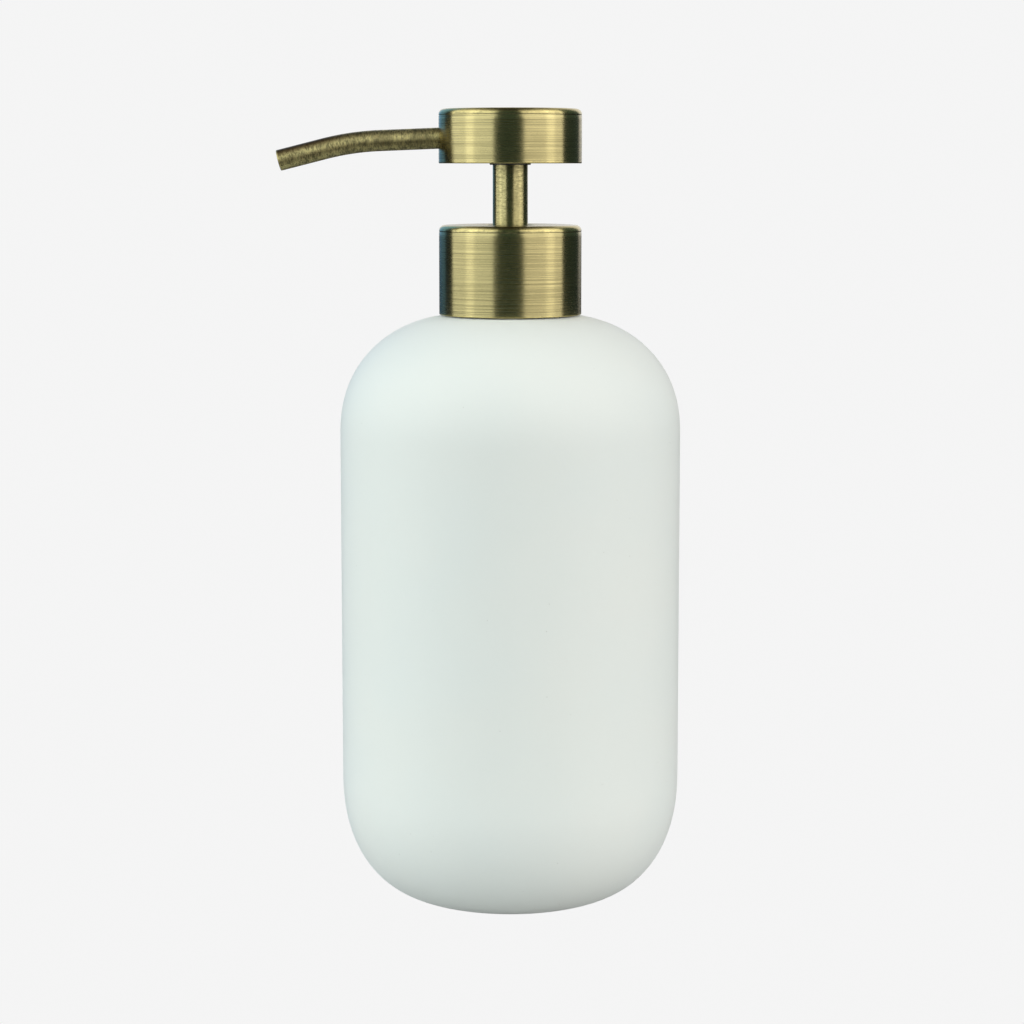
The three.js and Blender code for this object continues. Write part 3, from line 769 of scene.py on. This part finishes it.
def makeNeckGasket(s):
    return makeTurned("neckGasket", "gasket", "neck_gasket", "seal_rubber", [
        (s["bore"], s["bottom"], s["round"]), (s["radius"], s["bottom"], s["round"]),
        (s["radius"], s["top"], s["round"]), (s["bore"], s["top"], s["round"])])


makeNeckGasket(neckGasket)
print("bottle, neck and gasket are built")


# the pump's fixed pieces

housing = dict(
    bore=5.5, radius=6.9, ledge=102.2, bottom=84, chamber=3.2, chamberWall=1.0,
    seat=96.2, seatRise=1.8, throat=1.3,
    hangerRadius=8.1, shoulder=144.4, flangeRadius=12.4, flangeBottom=152.4, flangeTop=153.9,
    socketRadius=9.3, socketBore=7.5, socketBottom=150.2, socketTop=156.2,
    tubeSocket=2.6, tubeStop=95.3, ventRadius=0.7, ventHeight=141.15,
)


def cutBore(piece, radius, start, end, sides=32):
    # a round hole between two points, in mm, in a piece that is already in metres
    a, b = Vector(start) * mm, Vector(end) * mm
    drill = bpy.data.meshes.new("drill")
    body = bmesh.new()
    turn = (b - a).to_track_quat("Z", "Y").to_matrix().to_4x4()
    bmesh.ops.create_cone(body, cap_ends=True, segments=sides, radius1=radius * mm, radius2=radius * mm,
                          depth=(b - a).length, matrix=Matrix.Translation((a + b) / 2) @ turn)
    body.to_mesh(drill)
    body.free()
    tool = bpy.data.objects.new("drill", drill)
    bpy.context.scene.collection.objects.link(tool)
    cut = piece.modifiers.new("bore", "BOOLEAN")
    cut.operation, cut.solver, cut.object = "DIFFERENCE", "EXACT", tool
    bpy.context.view_layer.update()
    bored = bpy.data.meshes.new_from_object(piece.evaluated_get(bpy.context.evaluated_depsgraph_get()))
    piece.modifiers.clear()
    piece.data = bored
    bpy.data.objects.remove(tool)
    bpy.data.meshes.remove(drill)
    bored.set_sharp_from_angle(angle=radians(creaseAngle))
    return piece


def makeHousing(s):
    spigot = s["chamber"] + s["chamberWall"]
    piece = makeTurned("pumpHousing", "pump", "pump_housing", "white_plastic", [
        (s["tubeSocket"], s["bottom"], 0.2), (spigot, s["bottom"], 0.3),
        (spigot, s["ledge"] - 4, 0.6), (s["radius"], s["ledge"] + 1, 0.8),
        (s["radius"], s["shoulder"] - 1.2, 0.5), (s["hangerRadius"], s["shoulder"], 0.5),
        (s["hangerRadius"], s["flangeBottom"], 0.25), (s["flangeRadius"], s["flangeBottom"], 0.3),
        (s["flangeRadius"], s["flangeTop"], 0.3), (s["socketRadius"], s["flangeTop"], 0.3),
        (s["socketRadius"], s["socketTop"], 0.25), (s["socketBore"], s["socketTop"], 0.25),
        (s["socketBore"], s["socketBottom"], 0.15), (s["bore"], s["socketBottom"], 0.3),
        (s["bore"], s["ledge"], 0.15), (s["chamber"], s["ledge"], 0.15),
        (s["chamber"], s["seat"] + s["seatRise"], 0.3), (s["throat"], s["seat"], 0.2),
        (s["throat"], s["tubeStop"], 0.1), (s["tubeSocket"], s["tubeStop"], 0.1)])
    height = s["ventHeight"]
    cutBore(piece, s["ventRadius"], (s["bore"] - 1, 0, height), (s["radius"] + 1, 0, height))
    return piece


makeHousing(housing)

dipTube = dict(bore=1.75, radius=2.5, bottom=8, top=95.2, slant=28, slantHeight=6)


def makeDipTube(s):
    slope = tan(radians(s["slant"]))

    def slanted(point):
        above = point.z - s["bottom"]
        if above > s["slantHeight"]:
            return point
        cut = (s["radius"] - point.x) * slope
        return Vector((point.x, point.y, s["bottom"] + cut + above * (1 - cut / s["slantHeight"])))

    return makeTurned("dipTube", "pump", "dip_tube", "natural_plastic", [
        (s["bore"], s["bottom"], 0.12), (s["radius"], s["bottom"], 0.15), (s["radius"], s["top"], 0.15),
        (s["bore"], s["top"], 0.12)], segments=64, longest=1.5, moved=slanted)


makeDipTube(dipTube)

# each end has one closed turn that climbs endRise; keep is what is left of the height, fully pressed
spring = dict(wire=0.45, radius=4.2, turns=8.5, low=104.85, high=136.45, endRise=1.1, keep=0.596,
              stepsPerTurn=40, sides=14)


def makeSpring(s):
    sides = s["sides"]
    steps = int(s["turns"] * s["stepsPerTurn"])
    openRise = s["high"] - s["low"] - 2 * s["endRise"]
    verts, faces, along = [], [], []
    for k in range(steps + 1):
        t = s["turns"] * k / steps
        if t < 1:
            z = s["low"] + s["endRise"] * t
        elif t > s["turns"] - 1:
            z = s["high"] - s["endRise"] * (s["turns"] - t)
        else:
            z = s["low"] + s["endRise"] + (t - 1) / (s["turns"] - 2) * openRise
        a = 2 * pi * t
        for i in range(sides):
            b = 2 * pi * i / sides
            r = s["radius"] + s["wire"] * cos(b)
            verts.append((r * cos(a), r * sin(a), z + s["wire"] * sin(b)))
            along.append(2 * pi * s["wire"] * i / sides)
    for k in range(steps):
        for i in range(sides):
            j = (i + 1) % sides
            base, upper = k * sides, (k + 1) * sides
            faces.append((base + i, upper + i, upper + j, base + j))
    faces.append(tuple(range(sides)))
    faces.append(tuple(steps * sides + i for i in reversed(range(sides))))
    mesh = bpy.data.meshes.new("returnSpring")
    mesh.from_pydata(verts, [], faces)
    for name, values in (("along", along), ("edge", [farFromEdge] * len(along))):
        mesh.attributes.new(name, "FLOAT", "POINT").data.foreach_set("value", values)
    piece = makePiece(mesh, "returnSpring", "pump", "return_spring", "spring_steel")
    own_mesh(piece)
    return piece


makeSpring(spring)

inletBall = dict(radius=2.4, height=98.42)
outletBall = dict(radius=1.5, height=172.58)


def makeBall(s, name, body, node):
    count, radius = 24, s["radius"]
    section = [Vector((radius * sin(pi * k / count), s["height"] - radius * cos(pi * k / count)))
               for k in range(count + 1)]
    section[0].x = section[-1].x = 0
    mesh = turnedMesh(name, section, 48)
    paint(mesh, section, [])
    return makePiece(mesh, name, body, node, "spring_steel")


makeBall(inletBall, "inletBall", "inlet_ball", "inlet_ball")
makeBall(outletBall, "outletBall", "outlet_ball", "outlet_ball")

chaplet = dict(bore=4.4, tube=5.3, tubeBottom=144.3, slot=6.2, plug=7.3, plugBottom=150.4, shoulder=155.3,
               flange=156.3, flangeRadius=10.8, flangeTop=157.4, boss=5.3, top=159.3)


def makeChaplet(s):
    return makeTurned("chaplet", "pump", "chaplet", "black_plastic", [
        (s["bore"], s["tubeBottom"], 0.2), (s["tube"], s["tubeBottom"], 0.2),
        (s["tube"], s["shoulder"], 0.15), (s["slot"], s["shoulder"], 0.15),
        (s["slot"], s["plugBottom"], 0.2), (s["plug"], s["plugBottom"], 0.2),
        (s["plug"], s["flange"], 0.15), (s["flangeRadius"], s["flange"], 0.25),
        (s["flangeRadius"], s["flangeTop"], 0.3), (s["boss"], s["flangeTop"], 0.3),
        (s["boss"], s["top"], 0.22), (s["bore"], s["top"], 0.22)])


makeChaplet(chaplet)
print("pump housing, suction tube, spring, balls and stem guide are built")


# the screw collar

closureCap = dict(bore=14.0, outside=16.0, bottom=139.2, plateBottom=154.1, plateTop=155.9, hole=9.6)


def makeClosureCap(s):
    return makeTurned("closureCap", "collar", "closure_cap", "black_plastic", [
        (s["bore"], s["bottom"], 0.3), (s["outside"], s["bottom"], 0.3),
        (s["outside"], s["plateTop"], 0.4), (s["hole"], s["plateTop"], 0.25),
        (s["hole"], s["plateBottom"], 0.25), (s["bore"], s["plateBottom"], 0.3)],
        segments=160, longest=fineAt(s["bore"]), moved=threaded(capThread))


makeClosureCap(closureCap)

collar = dict(radius=16.65, bottom=138.45, top=159.3, wall=0.45, hole=5.6, edge=1.3, lip=0.2,
              markBelow=0.18, markDepth=0.05)


def turnedLine(s):
    # a shallow tool mark just below the rounded top edge, as corners going up
    r, z = s["radius"], s["top"] - s["edge"] - s["markBelow"]
    deep = r - s["markDepth"]
    return [(r, z - 0.22, 0), (deep, z - 0.08, 0), (deep, z, 0), (r, z + 0.1, 0)]


def makeCollar(s):
    inner, under = s["radius"] - s["wall"], s["top"] - s["wall"]
    return makeTurned("collarShell", "collar", "collar_shell", "brushed_brass", [
        (inner, s["bottom"], 0.15), (s["radius"], s["bottom"], s["lip"]), *turnedLine(s),
        (s["radius"], s["top"], s["edge"]), (s["hole"], s["top"], 0.2), (s["hole"], under, 0.15),
        (inner, under, s["edge"] - s["wall"])], segments=192, longest=1.0, steps=8)


makeCollar(collar)


# the stem and the piston

pistonSeal = dict(bore=3, lip=5.42, root=4.42, waist=4.72, bottom=138.4, top=144)


def makePistonSeal(s):
    return makeTurned("pistonSeal", "piston", "piston_seal", "natural_plastic", [
        (s["bore"], s["bottom"], 0.15), (s["root"], s["bottom"], 0.2),
        (s["lip"], s["bottom"] + 0.5, 0.12), (s["lip"], s["bottom"] + 0.9, 0.12),
        (s["waist"], s["bottom"] + 1.8, 0.3), (s["waist"], s["top"] - 1.8, 0.3),
        (s["lip"], s["top"] - 0.9, 0.12), (s["lip"], s["top"] - 0.5, 0.12),
        (s["root"], s["top"], 0.2), (s["bore"], s["top"], 0.15)], segments=96)


makePistonSeal(pistonSeal)

pistonStem = dict(bore=1.4, foot=4.9, footBottom=137, footTop=138.3, neck=2.8, shoulder=144.1, radius=3.5,
                  top=177.6, socket=1.9, seatTop=172.2, throat=0.9, seat=171.2, throatBottom=170)


def makePistonStem(s):
    return makeTurned("pistonStem", "actuator", "piston_stem", "white_plastic", [
        (s["bore"], s["footBottom"], 0.2), (s["foot"], s["footBottom"], 0.25),
        (s["foot"], s["footTop"], 0.25), (s["neck"], s["footTop"], 0.2),
        (s["neck"], s["shoulder"], 0.15), (s["radius"], s["shoulder"], 0.2),
        (s["radius"], s["top"], 0.25), (s["socket"], s["top"], 0.25),
        (s["socket"], s["seatTop"], 0.3), (s["throat"], s["seat"], 0.12),
        (s["throat"], s["throatBottom"], 0.1), (s["bore"], s["throatBottom"] - 0.5, 0.1)], segments=64)


makePistonStem(pistonStem)

stemSleeve = dict(radius=4.1, wall=0.4, bottom=151.5, top=175)


def makeStemSleeve(s):
    inner = s["radius"] - s["wall"]
    return makeTurned("stemSleeve", "actuator", "stem_sleeve", "aged_brass", [
        (inner, s["bottom"], 0.12), (s["radius"], s["bottom"], 0.18), (s["radius"], s["top"], 0.18),
        (inner, s["top"], 0.12)], segments=96, longest=1.0)


makeStemSleeve(stemSleeve)
print("collar, cap, stem and piston are built")


# the press head

head = dict(radius=16.7, bottom=173.6, top=186.2, wall=0.6, lid=0.9, edge=1.3, lip=0.25,
            markBelow=0.18, markDepth=0.05, holeGap=0.2, drillPast=3)
# root, bendStart and reach are distances from the head's axis; droop and tipDroop are degrees
spout = dict(radius=2.45, wall=0.4, axisHeight=180.1, droop=2.33, tipDroop=14.3, root=9.5,
             bendStart=30.5, reach=54, bendRadius=62)
liner = dict(radius=1.85, bore=1.2, rootInset=0.5, tipInset=1.5)


def onStraight(reach):
    # a point on the first straight of the spout's axis, by its distance along the axis
    droop = radians(spout["droop"])
    return Vector((-reach * cos(droop), 0, spout["axisHeight"] - reach * sin(droop)))


def makeHeadShell(s):
    inner, ceiling = s["radius"] - s["wall"], s["top"] - s["lid"]
    piece = makeTurned("headShell", "actuator", "head_shell", "brushed_brass", [
        (0, ceiling, 0), (inner, ceiling, s["edge"] - s["wall"]), (inner, s["bottom"], 0.15),
        (s["radius"], s["bottom"], s["lip"]), *turnedLine(s), (s["radius"], s["top"], s["edge"]),
        (0, s["top"], 0)], segments=192, longest=1.0, steps=8)
    start, end = onStraight(s["radius"] - s["drillPast"]), onStraight(s["radius"] + s["drillPast"])
    return cutBore(piece, spout["radius"] + s["holeGap"], start, end, sides=64)


makeHeadShell(head)

basePlate = dict(bore=4.3, outside=15.8, bottom=173.9, top=174.7, collarBottom=173.25, collarWall=0.5)


def makeBasePlate(s):
    boss = s["bore"] + s["collarWall"]
    return makeTurned("headBasePlate", "actuator", "head_base_plate", "black_plastic", [
        (s["bore"], s["collarBottom"], 0.12), (boss, s["collarBottom"], 0.15), (boss, s["bottom"], 0.2),
        (s["outside"], s["bottom"], 0.2), (s["outside"], s["top"], 0.15), (s["bore"], s["top"], 0.15)],
        segments=160)


makeBasePlate(basePlate)


# the spout: a straight tube, then bent along its line

def spoutLine(distance, first):
    # the point and the direction at a distance along the line that starts at reach first
    droop, tipDroop = radians(spout["droop"]), radians(spout["tipDroop"])
    straight = (spout["bendStart"] - first) / cos(droop)
    bend = spout["bendRadius"] * (tipDroop - droop)
    if distance < straight:
        return onStraight(first / cos(droop) + distance), droop
    over = min(distance - straight, bend)
    angle = droop + over / spout["bendRadius"]
    along = spout["bendRadius"] * (sin(angle) - sin(droop))
    down = spout["bendRadius"] * (cos(droop) - cos(angle))
    spot = onStraight(spout["bendStart"] / cos(droop)) - Vector((along, 0, down))
    rest = distance - straight - over
    return spot + Vector((-cos(angle), 0, -sin(angle))) * rest, angle


def spoutLength(first, last):
    # the tip's reach is measured from the head's axis
    low, high = 0.0, 2.0 * (last - first)
    for _ in range(40):
        middle = (low + high) / 2
        if -spoutLine(middle, first)[0].x < last:
            low = middle
        else:
            high = middle
    return low


def wrapMap(mesh):
    # a map whose first direction runs round the tube
    tall = 60    # mm for one unit along the tube
    layer = mesh.uv_layers.new(name="wrap")
    for polygon in mesh.polygons:
        angles = []
        for index in polygon.loop_indices:
            co = mesh.vertices[mesh.loops[index].vertex_index].co
            angles.append(atan2(co.y, co.x) / (2 * pi))
        spread = max(angles) - min(angles) > 0.5
        for index, angle in zip(polygon.loop_indices, angles):
            co = mesh.vertices[mesh.loops[index].vertex_index].co
            layer.data[index].uv = (angle + 1 if spread and angle < 0 else angle, co.z / tall)


def makeSpoutPipe(name, node, finish, outer, inner, first, last, tipRound, segments):
    length = spoutLength(first, last)
    section, edges = filleted([
        (inner, 0, 0.12), (outer, 0, 0.12), (outer, length, tipRound), (inner, length, tipRound)], 4)
    section = divided(section, lambda middle: 0.8)
    mesh = turnedMesh(name, section, segments)
    paint(mesh, section, edges)
    wrapMap(mesh)

    def bent(point):
        spot, angle = spoutLine(point.z, first)
        up = Vector((sin(angle), 0, -cos(angle)))
        return spot - up * point.x + Vector((0, point.y, 0))

    reshape(mesh, bent)
    return makePiece(mesh, name, "actuator", node, finish)


makeSpoutPipe("spoutTube", "spout_tube", "spout_brass", outer=spout["radius"],
              inner=spout["radius"] - spout["wall"], first=spout["root"], last=spout["reach"],
              tipRound=0.16, segments=64)
makeSpoutPipe("spoutLiner", "spout_liner", "natural_plastic", outer=liner["radius"], inner=liner["bore"],
              first=spout["root"] + liner["rootInset"], last=spout["reach"] - liner["tipInset"],
              tipRound=0.15, segments=48)

seal = dict(reach=12, section=0.5, radius=3.05)


def makeSpoutSeal(s):
    count = 20
    section = [Vector((s["radius"] + s["section"] * cos(2 * pi * k / count),
                       s["reach"] + s["section"] * sin(2 * pi * k / count))) for k in range(count)]
    mesh = turnedMesh("spoutSeal", section, 72)
    paint(mesh, section, [])
    mesh.transform(Matrix.Translation((0, 0, spout["axisHeight"]))
                   @ Matrix.Rotation(-pi / 2 - radians(spout["droop"]), 4, "Y"))
    return makePiece(mesh, "spoutSeal", "actuator", "spout_seal", "seal_rubber")


makeSpoutSeal(seal)
print("head, base plate, spout, liner and seal are built")


# the inner moulded pieces keep their shape from the frame

def finishNode(node, finish):
    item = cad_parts[node]
    item.data.materials.clear()
    item.data.materials.append(finishes[finish])


finishNode("head_core", "black_plastic")
finishNode("ball_cage", "white_plastic")
